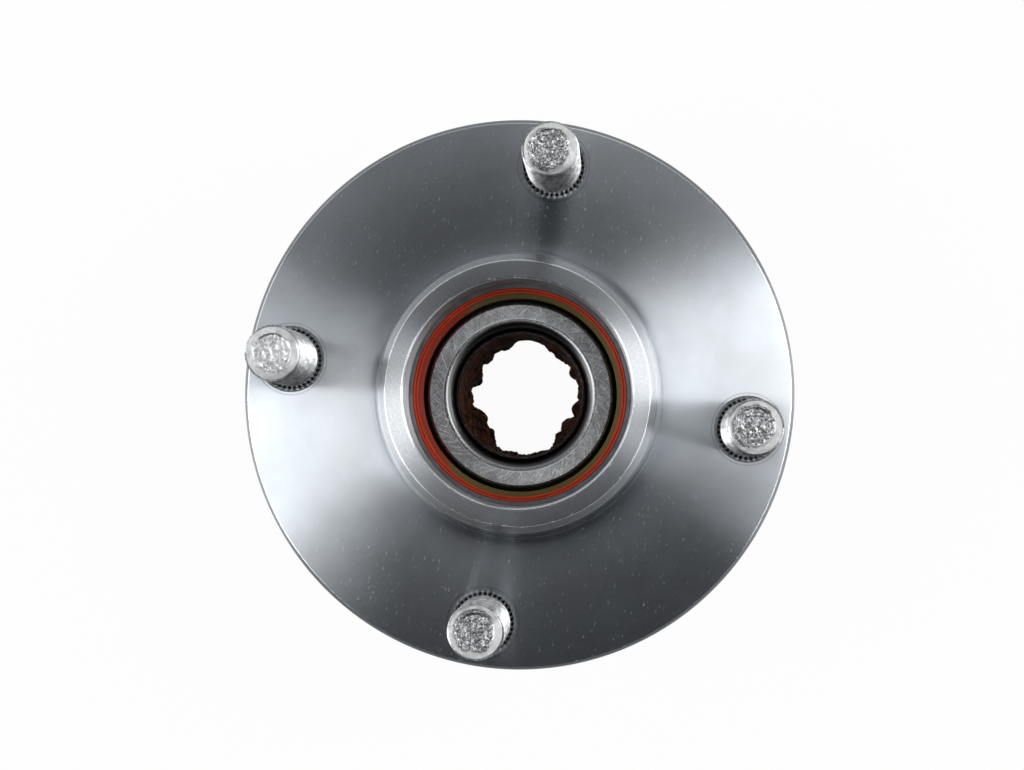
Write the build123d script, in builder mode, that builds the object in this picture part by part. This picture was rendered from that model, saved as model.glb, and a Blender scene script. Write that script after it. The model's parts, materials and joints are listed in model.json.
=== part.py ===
"""Wheel hub with its double-row ball bearing, for an axle that does not drive the wheel.

Sizes are in millimetres. The axis of the hub is +Z and points to the wheel. Z = 0 is the
face that the wheel and brake disc bolt against. The hub turns with the wheel, and the
bearing's two inner rings stay still on the stub axle.
"""

from build123d import *
from math import asin, cos, radians, sin, sqrt, tan
import os

# Wheel face, pilot collar and flange
stud_circle_diameter = 100.0
stud_count = 4
flange_thickness = 9.5
flange_margin = 1.0  # from the stud heads to the flange's edge
flange_front_chamfer = 0.7
flange_back_chamfer = 1.2
pilot_wall = 5.6  # makes the pilot 60 mm across
pilot_height = 6.5
pilot_lead_width = 1.5
pilot_lead_height = 2.4
pilot_mouth_chamfer = 0.5
pilot_relief_width = 1.2  # groove at the pilot's foot, cut into the wheel face
pilot_relief_depth = 0.4

# Wheel studs, pressed in from the back of the flange
thread_diameter = 11.9
stud_reach = 30.0  # from the wheel face to the stud's tip
stud_point_step = 0.5  # the plain point is this much smaller than the thread, on the radius
stud_point_length = 1.0
stud_tip_width = 1.35
stud_tip_height = 1.6
stud_head_diameter = 17.0
stud_head_height = 4.5
stud_head_chamfer = 0.7
knurl_rise = 0.65  # the knurl's crests over the thread, on the radius
knurl_depth = 0.5
knurl_teeth = 36
knurl_setback = 0.8  # from the wheel face down to the top of the knurl
stud_neck_length = 1.4  # plain runout between the knurl and the thread
stud_hole_clearance = 0.02  # on the radius, at the knurl's crests
stud_hole_chamfer = 0.6
spot_face_clearance = 0.5  # round each stud head, where it is cut into the barrel's fillet

# Bearing: bore, balls, raceways and rings
bore_diameter = 28.0
bore_lead_radius = 2.8
inner_raceway_wall = 2.9
ball_diameter = 9.5
ball_count = 12
row_spacing = 18.0
raceway_clearance = 0.1
inner_high_shoulder = 3.45
inner_low_shoulder = 1.0
inner_ring_chamfer = 0.5
inner_ring_setback = 2.5  # the inner rings' faces lie inside the outer ring's
outer_raceway_wall = 2.4
outer_land_height = 2.6
outer_relief_height = 0.5
outer_ring_corner = 1.0
seal_room = 7.25  # from a ball row's end to the outer ring's face

# Clip that holds the two inner rings together in their bore
clip_thickness = 0.6
clip_width = 3.6
clip_gap_width = 2.0
clip_clearance = 0.1

# Cages, one for each row, with their rims towards the middle of the bearing
cage_thickness = 3.2
cage_rim = 2.2
cage_wrap = 1.6  # how far the prongs reach past the ball centres
cage_pocket_clearance = 0.14

# Seals: a steel core in the outer ring, rubber on it, and a slinger on the inner ring
seal_setback = 0.5
core_sheet = 0.7
core_leg_length = 4.6
core_edge_height = 3.15  # from the inner ring's shoulder out to the core's edge
rubber_ridge_count = 2
rubber_ridge_width = 0.62
rubber_ridge_height = 0.3
lip_clearance = 0.3
lip_thickness = 0.45
dust_lip_gap = 0.95  # from the inner ring's shoulder out to the lip
dust_lip_fall = 1.2
slinger_sheet = 0.6
slinger_leg_length = 2.2
slinger_ball_clearance = 0.4

# Hub barrel and the circlip that keeps the bearing in it
bearing_depth = 7.0  # from the wheel face to the shoulder that the bearing seats on
shoulder_width = 4.6
barrel_wall = 8.0
barrel_draft = 1.5  # how much thinner the wall is at the barrel's end
barrel_fillet = 6.0
barrel_end_chamfer = 1.5
barrel_mouth_chamfer = 0.9
circlip_thickness = 1.9
circlip_clearance = 0.08
circlip_groove_depth = 1.6
circlip_beam = 3.4  # opposite the lugs, where the ring is widest
circlip_beam_end = 1.9  # beside the lugs
circlip_lug_radius = 2.9
circlip_lug_hole = 2.5
circlip_gap_angle = 26.0  # between the centres of the two lugs
barrel_overhang = 2.4  # barrel past the circlip's groove

# Worked out: radii of the bearing
bore_radius = bore_diameter / 2
ball_radius = ball_diameter / 2
groove_radius = ball_radius + raceway_clearance
pitch_radius = bore_radius + inner_raceway_wall + groove_radius
inner_groove_radius = pitch_radius - groove_radius
outer_groove_radius = pitch_radius + groove_radius
high_shoulder_radius = inner_groove_radius + inner_high_shoulder
low_shoulder_radius = inner_groove_radius + inner_low_shoulder
outer_land_radius = outer_groove_radius - outer_land_height
seal_bore_radius = outer_groove_radius - outer_relief_height
core_edge_radius = high_shoulder_radius + core_edge_height
bearing_radius = outer_groove_radius + outer_raceway_wall

# Worked out: levels along the axis
bearing_width = row_spacing + ball_diameter + 2 * seal_room
bearing_middle = -bearing_depth - bearing_width / 2
ring_half_width = bearing_width / 2 - inner_ring_setback
circlip_groove_top = bearing_middle - bearing_width / 2
circlip_groove_end = circlip_groove_top - circlip_thickness - 2 * circlip_clearance
barrel_end = circlip_groove_end - barrel_overhang

# Worked out: radii of the hub
stud_circle_radius = stud_circle_diameter / 2
flange_radius = stud_circle_radius + stud_head_diameter / 2 + flange_margin
cap_bore_radius = bearing_radius - shoulder_width
pilot_radius = cap_bore_radius + pilot_wall
barrel_radius = bearing_radius + barrel_wall
barrel_end_radius = barrel_radius - barrel_draft
circlip_groove_radius = bearing_radius + circlip_groove_depth
thread_radius = thread_diameter / 2
knurl_radius = thread_radius + knurl_rise
stud_hole_radius = knurl_radius + stud_hole_clearance

OUTBOARD = 1
INBOARD = -1
SIDES = {"outboard": OUTBOARD, "inboard": INBOARD}


def row_level(side):
    """Height of the ball centres of one row."""
    return bearing_middle + side * row_spacing / 2


def face_level(side, depth=0.0):
    """Height of a point that lies depth inside the outer ring's face on one side."""
    return bearing_middle + side * (bearing_width / 2 - depth)


def groove_half_width(radius):
    """Half the width of a raceway's groove, where it cuts a cylinder of that radius."""
    return sqrt(groove_radius**2 - (radius - pitch_radius) ** 2)


def ring_of(points):
    """A ring with the given outline of radius and height, turned about the hub's axis."""
    with BuildPart() as ring:
        with BuildSketch(Plane.XZ):
            with BuildLine():
                Polyline(points, close=True)
            make_face()
        revolve(axis=Axis.Z)
    return ring


def save(name, piece):
    """Labels a finished piece and writes it."""
    piece.part.label = name
    export_step(piece.part, f"parts/{name}.step")


def make_wheel_hub():
    """Flange, pilot collar and barrel, turned from one forging."""
    with BuildPart() as hub:
        with BuildSketch(Plane.XZ):
            with BuildLine():
                Polyline(
                    (barrel_radius, -flange_thickness - barrel_fillet),
                    (barrel_end_radius, barrel_end + barrel_end_chamfer),
                    (barrel_end_radius - barrel_end_chamfer, barrel_end),
                    (bearing_radius + barrel_mouth_chamfer, barrel_end),
                    (bearing_radius, barrel_end + barrel_mouth_chamfer),
                    (bearing_radius, circlip_groove_end),
                    (circlip_groove_radius, circlip_groove_end),
                    (circlip_groove_radius, circlip_groove_top),
                    (bearing_radius, circlip_groove_top),
                    (bearing_radius, -bearing_depth),
                    (cap_bore_radius, -bearing_depth),
                    (cap_bore_radius, pilot_height - pilot_mouth_chamfer),
                    (cap_bore_radius + pilot_mouth_chamfer, pilot_height),
                    (pilot_radius - pilot_lead_width, pilot_height),
                    (pilot_radius, pilot_height - pilot_lead_height),
                    (pilot_radius, -pilot_relief_depth),
                    (pilot_radius + pilot_relief_width, -pilot_relief_depth),
                    (pilot_radius + pilot_relief_width, 0),
                    (flange_radius - flange_front_chamfer, 0),
                    (flange_radius, -flange_front_chamfer),
                    (flange_radius, flange_back_chamfer - flange_thickness),
                    (flange_radius - flange_back_chamfer, -flange_thickness),
                    (barrel_radius + barrel_fillet, -flange_thickness),
                )
                RadiusArc(
                    (barrel_radius + barrel_fillet, -flange_thickness),
                    (barrel_radius, -flange_thickness - barrel_fillet),
                    -barrel_fillet,
                )
            make_face()
        revolve(axis=Axis.Z)
        with BuildSketch(Plane.XY.offset(-flange_thickness)):
            with PolarLocations(stud_circle_radius, stud_count):
                Circle(stud_head_diameter / 2 + spot_face_clearance)
        extrude(amount=barrel_end, mode=Mode.SUBTRACT)
        with PolarLocations(stud_circle_radius, stud_count):
            Hole(radius=stud_hole_radius)
        circles = hub.edges().filter_by(GeomType.CIRCLE).filter_by_position(Axis.Z, 0, 0)
        chamfer(circles.sort_by(SortBy.RADIUS)[:stud_count], stud_hole_chamfer)
    return hub


def make_wheel_stud(angle):
    """One wheel stud: round head, knurled shank and a threaded end as a plain cylinder."""
    seat = Plane(
        origin=(
            stud_circle_radius * cos(radians(angle)),
            stud_circle_radius * sin(radians(angle)),
            -flange_thickness,
        ),
        x_dir=(cos(radians(angle)), sin(radians(angle)), 0),
        z_dir=(0, 0, 1),
    )
    knurl_length = flange_thickness - knurl_setback
    thread_start = knurl_length + stud_neck_length
    tip = flange_thickness + stud_reach
    point_start = tip - stud_tip_height - stud_point_length
    root_radius = knurl_radius - knurl_depth
    point_radius = thread_radius - stud_point_step
    with BuildPart() as stud:
        with BuildSketch(seat):
            Circle(knurl_radius)
            with PolarLocations(knurl_radius, knurl_teeth):
                Rectangle(
                    knurl_depth * sqrt(2), knurl_depth * sqrt(2), rotation=45, mode=Mode.SUBTRACT
                )
        extrude(amount=knurl_length)
        with BuildSketch(Plane(seat.origin, x_dir=seat.x_dir, z_dir=-seat.y_dir)):
            with BuildLine():
                Polyline(
                    (0, -stud_head_height),
                    (stud_head_diameter / 2 - stud_head_chamfer, -stud_head_height),
                    (stud_head_diameter / 2, stud_head_chamfer - stud_head_height),
                    (stud_head_diameter / 2, 0),
                    (root_radius, 0),
                    (root_radius, knurl_length),
                    (point_radius, thread_start - stud_neck_length / 2),
                    (point_radius, thread_start),
                    (thread_radius, thread_start + stud_neck_length / 2),
                    (thread_radius, point_start),
                    (point_radius, point_start),
                    (point_radius, tip - stud_tip_height),
                    (point_radius - stud_tip_width, tip),
                    (0, tip),
                    close=True,
                )
            make_face()
        revolve(axis=Axis(seat.origin, (0, 0, 1)))
    return stud


def make_outer_ring():
    """The bearing's outer ring: two raceways with a land between them and a seal bore at each end."""
    with BuildPart() as ring:
        with BuildSketch(Plane.XZ):
            for side in SIDES.values():
                face = face_level(side)
                row = row_level(side)
                relief_end = row + side * groove_half_width(seal_bore_radius)
                land_start = row - side * groove_half_width(outer_land_radius)
                with BuildLine():
                    Polyline(
                        (outer_land_radius, land_start),
                        (outer_land_radius, bearing_middle),
                        (bearing_radius, bearing_middle),
                        (bearing_radius, face - side * outer_ring_corner),
                        (bearing_radius - outer_ring_corner, face),
                        (seal_bore_radius, face),
                        (seal_bore_radius, relief_end),
                    )
                    ThreePointArc(
                        (seal_bore_radius, relief_end),
                        (outer_groove_radius, row),
                        (outer_land_radius, land_start),
                    )
                make_face()
        revolve(axis=Axis.Z)
    return ring


def make_inner_ring(side):
    """One inner ring, with its high shoulder outwards and a clip groove at the inner end."""
    face = bearing_middle + side * ring_half_width
    row = row_level(side)
    shoulder_end = row + side * groove_half_width(high_shoulder_radius)
    low_start = row - side * groove_half_width(low_shoulder_radius)
    clip_groove_radius = bore_radius + clip_thickness + 2 * clip_clearance
    clip_groove_end = bearing_middle + side * (clip_width / 2 + clip_clearance)
    lead_middle = bore_lead_radius * (1 - sqrt(0.5))
    with BuildPart() as ring:
        with BuildSketch(Plane.XZ):
            with BuildLine():
                ThreePointArc(
                    (bore_radius, face - side * bore_lead_radius),
                    (bore_radius + lead_middle, face - side * lead_middle),
                    (bore_radius + bore_lead_radius, face),
                )
                Polyline(
                    (bore_radius + bore_lead_radius, face),
                    (high_shoulder_radius - inner_ring_chamfer, face),
                    (high_shoulder_radius, face - side * inner_ring_chamfer),
                    (high_shoulder_radius, shoulder_end),
                )
                ThreePointArc(
                    (high_shoulder_radius, shoulder_end),
                    (inner_groove_radius, row),
                    (low_shoulder_radius, low_start),
                )
                Polyline(
                    (low_shoulder_radius, low_start),
                    (low_shoulder_radius, bearing_middle + side * inner_ring_chamfer),
                    (low_shoulder_radius - inner_ring_chamfer, bearing_middle),
                    (clip_groove_radius, bearing_middle),
                    (clip_groove_radius, clip_groove_end),
                    (bore_radius, clip_groove_end),
                    (bore_radius, face - side * bore_lead_radius),
                )
            make_face()
        revolve(axis=Axis.Z)
    return ring


def make_inner_ring_clip():
    """Split spring band that lies in the two inner rings' grooves."""
    inside = bore_radius + clip_clearance
    with BuildPart() as clip:
        with BuildSketch(Plane.XY.offset(bearing_middle - clip_width / 2)):
            Circle(inside + clip_thickness)
            Circle(inside, mode=Mode.SUBTRACT)
            with Locations((inside, 0)):
                Rectangle(inside, clip_gap_width, mode=Mode.SUBTRACT)
        extrude(amount=clip_width)
    return clip


def make_cage(side):
    """Snap cage: a rim on the inner side of the row, and prongs between the balls."""
    row = row_level(side)
    rim_end = row - side * (ball_radius + cage_rim)
    prong_end = row + side * cage_wrap
    inside = pitch_radius - cage_thickness / 2
    outside = pitch_radius + cage_thickness / 2
    with BuildPart() as cage:
        with BuildSketch(Plane.XZ):
            with BuildLine():
                Polyline(
                    (inside, rim_end),
                    (outside, rim_end),
                    (outside, prong_end),
                    (inside, prong_end),
                    close=True,
                )
            make_face()
        revolve(axis=Axis.Z)
        with Locations((0, 0, row)):
            with PolarLocations(pitch_radius, ball_count):
                Sphere(ball_radius + cage_pocket_clearance, mode=Mode.SUBTRACT)
    return cage


def make_ball(side, index):
    """One ball of a row."""
    angle = radians(360 / ball_count * index)
    with BuildPart() as ball:
        with Locations((pitch_radius * cos(angle), pitch_radius * sin(angle), row_level(side))):
            Sphere(ball_radius)
    return ball


def make_seal_core(side):
    """Steel core of a seal: a leg in the outer ring's seal bore and a flange across the gap."""
    front = face_level(side, seal_setback)
    flange_back = face_level(side, seal_setback + core_sheet)
    leg_end = face_level(side, seal_setback + core_leg_length)
    return ring_of(
        [
            (core_edge_radius, front),
            (seal_bore_radius, front),
            (seal_bore_radius, leg_end),
            (seal_bore_radius - core_sheet, leg_end),
            (seal_bore_radius - core_sheet, flange_back),
            (core_edge_radius, flange_back),
        ]
    )


def make_seal_rubber(side):
    """Rubber moulded on a core: ridges outside, a dust lip, and two lips that face the slinger."""
    edge = core_edge_radius
    neck = edge - rubber_ridge_count * rubber_ridge_width
    front = face_level(side, seal_setback)
    core_back = face_level(side, seal_setback + core_sheet)
    ridge_top = face_level(side, seal_setback - rubber_ridge_height)
    neck_level = face_level(side, seal_setback + 2 * core_sheet)
    lip_end = slinger_level(side) + side * (slinger_sheet + lip_clearance)
    run_radius = high_shoulder_radius + slinger_sheet + lip_clearance
    dust_tip = high_shoulder_radius + dust_lip_gap
    dust_tip_level = neck_level - side * dust_lip_fall
    with BuildPart() as rubber:
        with BuildSketch(Plane.XZ):
            with BuildLine():
                for ridge in range(rubber_ridge_count):
                    start = edge - ridge * rubber_ridge_width
                    ThreePointArc(
                        (start, front),
                        (start - rubber_ridge_width / 2, ridge_top),
                        (start - rubber_ridge_width, front),
                    )
                Polyline(
                    (neck, front),
                    (neck, neck_level),
                    (run_radius, lip_end + side * lip_thickness),
                    (run_radius + lip_thickness, lip_end),
                    (edge - lip_thickness, neck_level - side * core_sheet),
                    (edge, lip_end),
                    (edge + lip_thickness, lip_end),
                    (edge + core_sheet, core_back),
                    (edge, core_back),
                    (edge, front),
                )
            make_face()
            with BuildLine():
                Polyline(
                    (neck + lip_thickness, neck_level),
                    (dust_tip, dust_tip_level),
                    (dust_tip, dust_tip_level + side * lip_thickness),
                    (neck + lip_thickness, neck_level + side * lip_thickness),
                    close=True,
                )
            make_face()
        revolve(axis=Axis.Z)
    return rubber


def slinger_level(side):
    """Height of the slinger's flange face that looks at the balls."""
    ball_end = row_level(side) + side * ball_radius
    return ball_end + side * slinger_ball_clearance


def make_slinger(side):
    """Steel slinger: a leg pressed on the inner ring and a flange for the lips to run on."""
    back = slinger_level(side)
    front = back + side * slinger_sheet
    leg_end = back + side * slinger_leg_length
    leg_radius = high_shoulder_radius + slinger_sheet
    rim_radius = core_edge_radius + lip_thickness
    return ring_of(
        [
            (high_shoulder_radius, back),
            (rim_radius, back),
            (rim_radius, front),
            (leg_radius, front),
            (leg_radius, leg_end),
            (high_shoulder_radius, leg_end),
        ]
    )


def make_circlip():
    """Internal circlip that keeps the bearing in the barrel, with two lugs for the pliers."""
    outside = circlip_groove_radius - circlip_clearance
    inside = outside - (circlip_beam + circlip_beam_end) / 2
    lug_circle = outside - circlip_beam_end - circlip_lug_radius
    lug_angles = (-circlip_gap_angle / 2, circlip_gap_angle / 2)
    open_angle = radians(circlip_gap_angle / 2) - asin(circlip_lug_radius / lug_circle)
    with BuildPart() as circlip:
        with BuildSketch(Plane.XY.offset(circlip_groove_end + circlip_clearance)):
            Circle(outside)
            with Locations(((circlip_beam - circlip_beam_end) / 2, 0)):
                Circle(inside, mode=Mode.SUBTRACT)
            for angle in lug_angles:
                with PolarLocations(lug_circle, 1, angle):
                    Circle(circlip_lug_radius)
                with PolarLocations(lug_circle + circlip_lug_radius, 1, angle):
                    Rectangle(2 * circlip_lug_radius, 2 * circlip_lug_radius)
            Circle(outside, mode=Mode.INTERSECT)
            for angle in lug_angles:
                with PolarLocations(lug_circle, 1, angle):
                    Circle(circlip_lug_hole / 2, mode=Mode.SUBTRACT)
            with BuildLine():
                Polyline(
                    (0, 0),
                    (barrel_radius, -barrel_radius * tan(open_angle)),
                    (barrel_radius, barrel_radius * tan(open_angle)),
                    close=True,
                )
            make_face(mode=Mode.SUBTRACT)
        extrude(amount=circlip_thickness)
    return circlip


def main():
    os.makedirs("parts", exist_ok=True)
    save("wheel_hub", make_wheel_hub())
    for index in range(stud_count):
        save(f"wheel_stud_{index + 1}", make_wheel_stud(360 / stud_count * index))
    save("bearing_outer_ring", make_outer_ring())
    save("retaining_circlip", make_circlip())
    save("inner_ring_clip", make_inner_ring_clip())
    for name, side in SIDES.items():
        save(f"{name}_inner_ring", make_inner_ring(side))
        save(f"{name}_cage", make_cage(side))
        for index in range(ball_count):
            save(f"{name}_ball_{index + 1:02d}", make_ball(side, index))
        save(f"{name}_seal_core", make_seal_core(side))
        save(f"{name}_seal_rubber", make_seal_rubber(side))
        save(f"{name}_slinger", make_slinger(side))


main()
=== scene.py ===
"""Wheel hub with its double-row ball bearing, dressed for the render.

Metres, in the part's own frame: the hub's axis is +Z, and the wheel face is Z = 0.
"""

import json
from itertools import pairwise
from math import atan2, ceil, cos, degrees, exp, hypot, pi, radians, sin

import bmesh
import bpy
from mathutils import Matrix, Vector


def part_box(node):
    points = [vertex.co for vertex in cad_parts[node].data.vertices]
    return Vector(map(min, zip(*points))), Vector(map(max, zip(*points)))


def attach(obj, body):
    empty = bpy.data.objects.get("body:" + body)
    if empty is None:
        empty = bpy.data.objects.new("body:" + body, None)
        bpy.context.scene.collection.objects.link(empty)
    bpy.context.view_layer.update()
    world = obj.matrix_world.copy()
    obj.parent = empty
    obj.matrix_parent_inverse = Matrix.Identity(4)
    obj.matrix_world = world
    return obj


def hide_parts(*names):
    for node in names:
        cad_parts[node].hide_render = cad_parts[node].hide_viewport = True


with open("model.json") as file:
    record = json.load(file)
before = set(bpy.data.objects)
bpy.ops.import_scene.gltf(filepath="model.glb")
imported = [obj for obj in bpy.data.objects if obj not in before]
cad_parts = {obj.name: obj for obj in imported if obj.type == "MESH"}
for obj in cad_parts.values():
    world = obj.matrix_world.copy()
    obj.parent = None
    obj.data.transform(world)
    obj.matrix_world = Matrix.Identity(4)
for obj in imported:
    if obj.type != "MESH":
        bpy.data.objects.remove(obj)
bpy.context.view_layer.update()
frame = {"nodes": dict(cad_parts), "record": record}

mm = 0.001
hair = 0.01 * mm
weld_distance = 0.0005 * mm
mounts = {mount["name"]: mount for mount in frame["record"]["mounts"]}

# Sizes that the frame gives
stud_circle_radius = mounts["wheel_studs"]["dims"]["pcd_mm"] * mm / 2
stud_count = mounts["wheel_studs"]["dims"]["count"]
thread_radius = mounts["wheel_studs"]["dims"]["stud_r_mm"] * mm
pilot_radius = mounts["wheel_pilot"]["dims"]["r_mm"] * mm
cap_seat_radius = mounts["cap_seat"]["dims"]["r_mm"] * mm
bore_radius = mounts["axle_bore"]["dims"]["r_mm"] * mm
flange_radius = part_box("wheel_hub")[1][0]
pilot_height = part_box("wheel_hub")[1][2]
barrel_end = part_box("wheel_hub")[0][2]
stud_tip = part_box("wheel_stud_1")[1][2]
stud_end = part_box("wheel_stud_1")[0][2]
bearing_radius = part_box("bearing_outer_ring")[1][0]
bearing_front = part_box("bearing_outer_ring")[1][2]
bearing_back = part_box("bearing_outer_ring")[0][2]
ring_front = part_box("outboard_inner_ring")[1][2]
ring_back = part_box("inboard_inner_ring")[0][2]
circlip_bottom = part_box("retaining_circlip")[0][2]

# Hub: turned from a forging
turning_steps = 256
flange_back = -9.5 * mm
flange_front_chamfer = 0.7 * mm
flange_back_chamfer = 1.2 * mm
pilot_lead_width = 1.5 * mm
pilot_lead_height = 2.4 * mm
pilot_mouth_chamfer = 0.5 * mm
pilot_relief_width = 1.2 * mm
pilot_relief_depth = 0.4 * mm
barrel_wall = 8.0 * mm
barrel_draft = 1.5 * mm
barrel_fillet = 6.0 * mm
barrel_fillet_steps = 10
barrel_end_chamfer = 1.5 * mm
barrel_mouth_chamfer = 0.9 * mm
circlip_groove_depth = 1.6 * mm
circlip_clearance = 0.08 * mm
edge_rounding = 0.12 * mm
edge_rounding_angle = 25

# Wheel studs
stud_head_radius = 8.5 * mm
stud_head_chamfer = 0.7 * mm
knurl_rise = 0.65 * mm
knurl_radius = thread_radius + knurl_rise
knurl_depth = 0.5 * mm
knurl_teeth = 36
knurl_top = -0.8 * mm
knurl_crown = 0.25 * mm
stud_neck_length = 1.4 * mm
stud_point_step = 0.5 * mm
stud_point_length = 1.0 * mm
stud_tip_width = 1.35 * mm
stud_tip_height = 1.6 * mm
stud_pit_size = 1.1 * mm
stud_pit_depth = 0.55 * mm
thread_pitch = 1.25 * mm
thread_root_radius = 5.2 * mm
thread_root_flat = 0.16 * mm
thread_flank_slope = 0.577
thread_steps = 36
stud_hole_clearance = 0.02 * mm
stud_hole_chamfer = 0.6 * mm
stud_hole_drill_reach = 8 * mm
spot_face_clearance = 0.5 * mm

# Grease in the bore: a film that starts and ends a little inside the rings, and lumps on it
film_front_gap = 4.5 * mm
film_back_gap = 3.2 * mm
film_thickness = 0.2 * mm
clot_size = 1.9 * mm
clot_rise = 2.6 * mm
grease_thickest = 4.2 * mm
grease_rows = 44
grease_steps = 300

# Lumps of grease: azimuth and spread in degrees, rise off the wall, and the share of the film's
# length at which the lump starts
grease_lumps = (
    (214, 16, 3.2 * mm, 0.25),
    (234, 8, 1.8 * mm, 0.5),
    (187, 7, 0.9 * mm, 0.4),
    (167, 9, 2.0 * mm, 0.35),
    (144, 14, 1.0 * mm, 0.4),
    (119, 8, 1.1 * mm, 0.4),
    (62, 13, 1.0 * mm, 0.4),
    (36, 8, 1.1 * mm, 0.5),
    (12, 8, 0.8 * mm, 0.5),
    (358, 6, 2.0 * mm, 0.5),
    (337, 8, 2.9 * mm, 0.3),
    (321, 8, 1.9 * mm, 0.4),
)

# Where the film was wiped thin: azimuth and spread in degrees, and the share that is gone
wiped_azimuth = 98
wiped_spread = 20
wiped_share = 0.8

# Marks in the finishes: the rings pressed into the flange round each stud, the sheared part of a
# stud's end, and the edge of the seal's lip, inside which its grease stain and painted shade lie
stud_press_mark = (6.6 * mm, 7.6 * mm)
stud_press_line = (7.75 * mm, 7.85 * mm)
rough_end_radius = 4.6 * mm
rough_end_offset = 0.45 * mm
seal_lip_radius = 22.3 * mm

# Studio
floor_size = 6.0
floor_whiteness = 0.96


def start_piece(name):
    """Names the primitive that was just added and opens it for editing."""
    piece = bpy.context.object
    piece.name = name
    piece.data.name = name
    bpy.ops.object.mode_set(mode="EDIT")
    return piece


def only(piece):
    """Selects one piece and nothing else."""
    if bpy.context.object and bpy.context.object.mode == "EDIT":
        bpy.ops.object.mode_set(mode="OBJECT")
    bpy.ops.object.select_all(action="DESELECT")
    piece.select_set(True)
    bpy.context.view_layer.objects.active = piece


def pick(piece, test):
    """Selects the points of the open mesh that pass a test of their place."""
    bpy.ops.mesh.select_mode(type="VERT")
    bpy.ops.mesh.select_all(action="DESELECT")
    mesh = bmesh.from_edit_mesh(piece.data)
    for point in mesh.verts:
        point.select_set(test(point.co))
    mesh.select_flush_mode()
    bmesh.update_edit_mesh(piece.data)


def pick_open_edges():
    """Selects the edges at which the open mesh ends."""
    bpy.ops.mesh.select_all(action="DESELECT")
    bpy.ops.mesh.select_non_manifold()


def apply(piece, kind, **settings):
    """Adds a modifier, sets it and applies it."""
    only(piece)
    modifier = piece.modifiers.new(kind.title(), kind)
    for setting, value in settings.items():
        setattr(modifier, setting, value)
    bpy.ops.object.modifier_apply(modifier=modifier.name)


def finish_mesh():
    """Merges doubles, turns the faces outwards and closes the mesh that is open for editing."""
    bpy.ops.mesh.select_all(action="SELECT")
    bpy.ops.mesh.remove_doubles(threshold=weld_distance)
    bpy.ops.mesh.normals_make_consistent(inside=False)
    bpy.ops.object.mode_set(mode="OBJECT")


def turn(name, outline, steps):
    """Turns an outline of (radius, height) corners about the upright axis, as an open shell."""
    bpy.ops.object.select_all(action="DESELECT")
    radius, height = outline[0]
    bpy.ops.mesh.primitive_circle_add(vertices=steps, radius=radius, location=(0, 0, height))
    bpy.ops.object.transform_apply(location=True)
    piece = start_piece(name)
    bpy.ops.mesh.select_mode(type="EDGE")
    for (radius, height), (next_radius, next_height) in pairwise(outline):
        bpy.ops.mesh.extrude_edges_move(
            TRANSFORM_OT_translate={"value": (0, 0, next_height - height)}
        )
        grow = next_radius / radius
        bpy.ops.transform.resize(value=(grow, grow, 1), center_override=(0, 0, next_height))
    return piece


def turned_ring(name, outline, steps):
    """A closed ring turned from its outline."""
    ring = turn(name, outline, steps)
    pick_open_edges()
    bpy.ops.mesh.bridge_edge_loops()
    finish_mesh()
    return ring


def turned_cutter(name, outline):
    """A closed cutter for a round hole, turned from its outline."""
    cutter = turn(name, outline, 2 * knurl_teeth)
    pick_open_edges()
    bpy.ops.mesh.fill_holes(sides=0)
    finish_mesh()
    return cutter


def smooth(piece, angle):
    """Smooth shading, with the edges kept that are sharper than an angle in degrees."""
    only(piece)
    bpy.ops.object.shade_smooth_by_angle(angle=radians(angle))


def copy_of(piece, name):
    """A copy with its own mesh."""
    twin = piece.copy()
    twin.data = piece.data.copy()
    twin.name = name
    twin.data.name = name
    bpy.context.scene.collection.objects.link(twin)
    return twin


def settle(piece, place, turn_by=0.0):
    """Moves a finished piece to its place on the hub and puts the place in its mesh."""
    piece.data.transform(Matrix.Translation(place) @ Matrix.Rotation(turn_by, 4, "Z"))


def cut_away(piece, cutter):
    """Cuts one closed piece out of another."""
    apply(piece, "BOOLEAN", operation="DIFFERENCE", solver="EXACT", object=cutter)
    bpy.data.objects.remove(cutter)


def dress(piece, body, nodes, finish):
    """Makes a new piece stand for CAD nodes, on their body, with its finish."""
    piece.data.materials.clear()
    piece.data.materials.append(finish)
    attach(piece, body)
    if nodes:
        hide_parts(*nodes)


def repaint(node, finish):
    """Gives a CAD node its finish."""
    for material_slot in frame["nodes"][node].material_slots:
        material_slot.material = finish


def stud_places():
    """The angle and the place of each stud on its circle."""
    for index in range(stud_count):
        angle = 2 * pi * index / stud_count
        yield angle, (stud_circle_radius * cos(angle), stud_circle_radius * sin(angle), 0)


class Wiring:
    """A node tree that is wired up node by node."""

    def __init__(self, tree):
        self.tree = tree

    def feed(self, target, value):
        """A wire or a constant into one socket."""
        if isinstance(value, bpy.types.NodeSocket):
            self.tree.links.new(value, target)
        elif value is not None:
            target.default_value = value

    def add(self, kind, *inputs, **settings):
        """A new node, with its first inputs filled in order."""
        node = self.tree.nodes.new(kind)
        for setting, value in settings.items():
            setattr(node, setting, value)
        for target, value in zip(node.inputs, inputs):
            self.feed(target, value)
        return node

    def math(self, operation, *values):
        return self.add("ShaderNodeMath", *values, operation=operation).outputs[0]

    def times(self, a, b):
        return self.math("MULTIPLY", a, b)

    def step(self, value, start, end, low=0.0, high=1.0):
        """Goes from low to high as a value goes from start to end."""
        node = self.add("ShaderNodeMapRange", value, start, end, low, high)
        node.interpolation_type = "SMOOTHSTEP"
        return node.outputs[0]


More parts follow.
